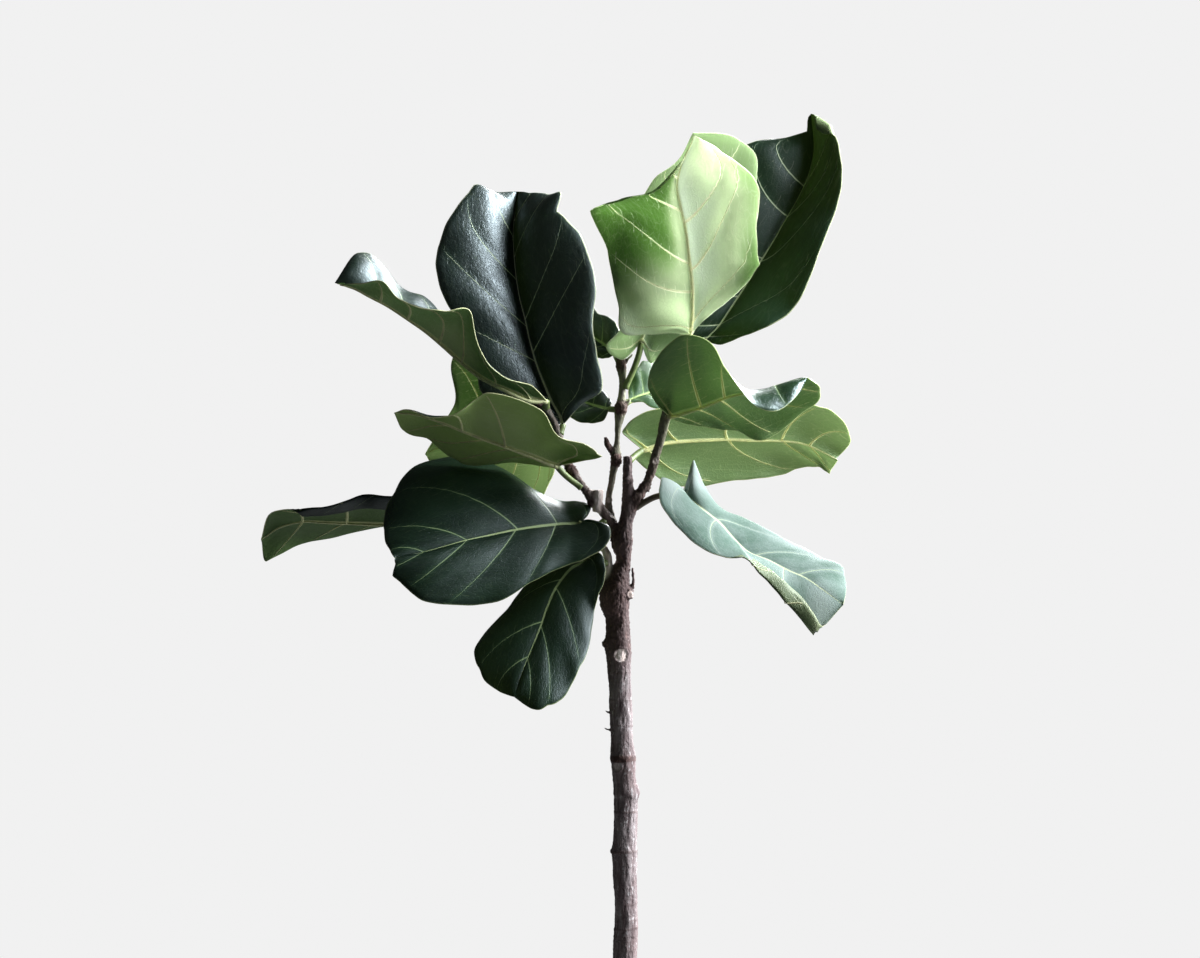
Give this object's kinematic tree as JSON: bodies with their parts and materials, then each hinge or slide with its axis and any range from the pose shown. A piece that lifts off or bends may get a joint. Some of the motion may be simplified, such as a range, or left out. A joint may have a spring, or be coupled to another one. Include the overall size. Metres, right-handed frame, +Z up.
{
  "type": "potted fiddle leaf fig",
  "caption": "Potted fiddle leaf fig: large violin-shaped leaves on a pruned, branching woody trunk, standing in a plain tapered planter filled with soil.",
  "frame": {"origin": "centre of the planter's flat underside", "axes": "+Z up along the trunk, +X to the right and +Y away from the viewer as the picture sees the plant"},
  "size_m": [0.6116, 0.3358, 1.2707],
  "materials": {
    "pot": "matte unglazed stoneware, pale warm grey",
    "soil": "crumbly dark potting mix",
    "bark": "rough grey-brown bark, greener on young shoots",
    "leaf": "waxy dark green upper side, matte light green underside, cream veins"
  },
  "bodies": {
    "root": {"pot": "pot", "soil": "soil", "wood": "bark", "leaf_a": "leaf", "leaf_b": "leaf", "leaf_c": "leaf", "leaf_d": "leaf", "leaf_e": "leaf", "leaf_f": "leaf", "leaf_g": "leaf", "leaf_h": "leaf", "leaf_i": "leaf", "leaf_j": "leaf", "leaf_k": "leaf", "leaf_l": "leaf", "leaf_m": "leaf", "leaf_n": "leaf", "leaf_o": "leaf", "leaf_p": "leaf"}
  },
  "joints": []
}
